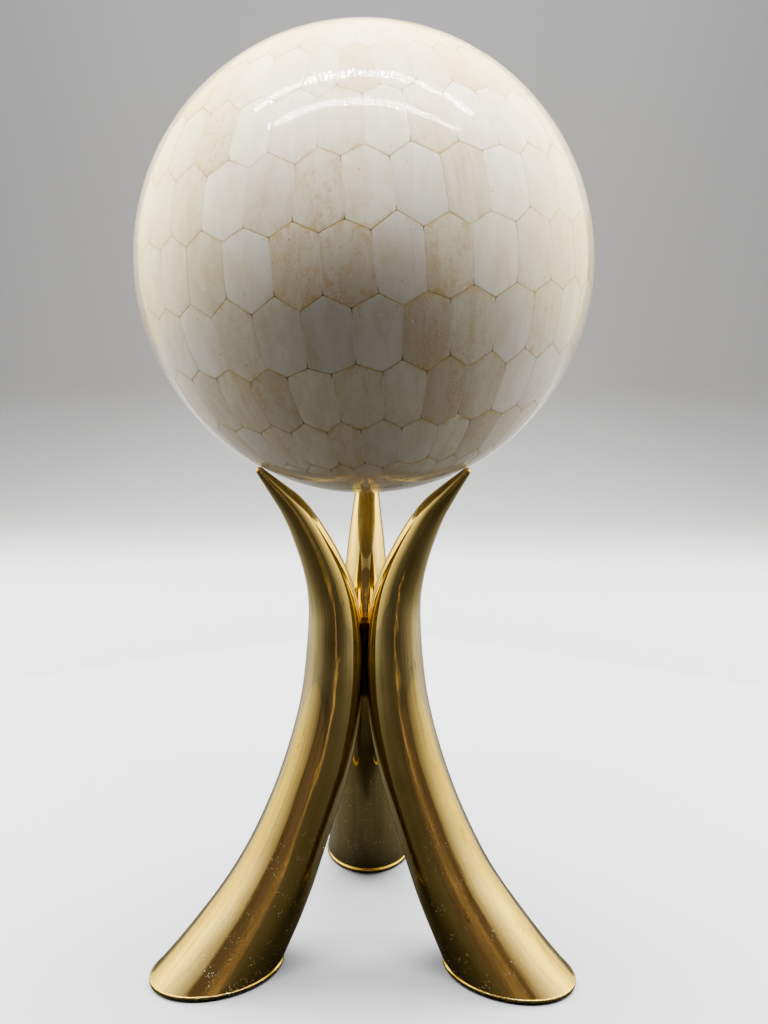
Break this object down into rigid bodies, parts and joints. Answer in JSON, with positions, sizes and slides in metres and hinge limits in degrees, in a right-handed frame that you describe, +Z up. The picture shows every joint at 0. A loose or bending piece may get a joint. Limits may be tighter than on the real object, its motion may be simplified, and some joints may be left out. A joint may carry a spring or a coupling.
{
  "type": "decorative ball on a stand",
  "caption": "Decorative tessellated bone ball resting loose on the tips of a polished brass stand of curved horns.",
  "frame": {"origin": "on the stand's own axis, in the plane of the undersides of the three felt pads", "axes": "+Z up along the stand's axis; +Y towards the rear horn; +X to the right when the rear horn is farthest away"},
  "size_m": [0.2032, 0.2108, 0.4208],
  "materials": {
    "bone": "gloss lacquered bone tile, cream to beige, with fine grain and pores",
    "joint_filler": "brown resin filler under clear lacquer",
    "core_wood": "turned softwood, unfinished",
    "polished_brass": "mirror polished with fine lengthwise hairlines",
    "braze": "dull, as brazed",
    "felt": "thin dark felt"
  },
  "bodies": {
    "stand": {"horn_left": "polished_brass", "horn_right": "polished_brass", "horn_rear": "polished_brass", "foot_plate_left": "polished_brass", "foot_plate_right": "polished_brass", "foot_plate_rear": "polished_brass", "felt_pad_left": "felt", "felt_pad_right": "felt", "felt_pad_rear": "felt", "waist_braze": "braze"},
    "ball": {"bone_cap_bottom": "bone", "bone_row_01": "bone", "bone_row_02": "bone", "bone_row_03": "bone", "bone_row_04": "bone", "bone_row_05": "bone", "bone_row_06": "bone", "bone_row_07": "bone", "bone_row_08": "bone", "bone_row_09": "bone", "bone_row_10": "bone", "bone_row_11": "bone", "bone_cap_top": "bone", "joint_filler": "joint_filler", "core_upper": "core_wood", "core_lower": "core_wood"}
  },
  "joints": [
    {"name": "ball_lift", "type": "slide", "parent": "stand", "child": "ball", "axis": [0, 0, 1], "range_m": [0, 0.12]}
  ]
}
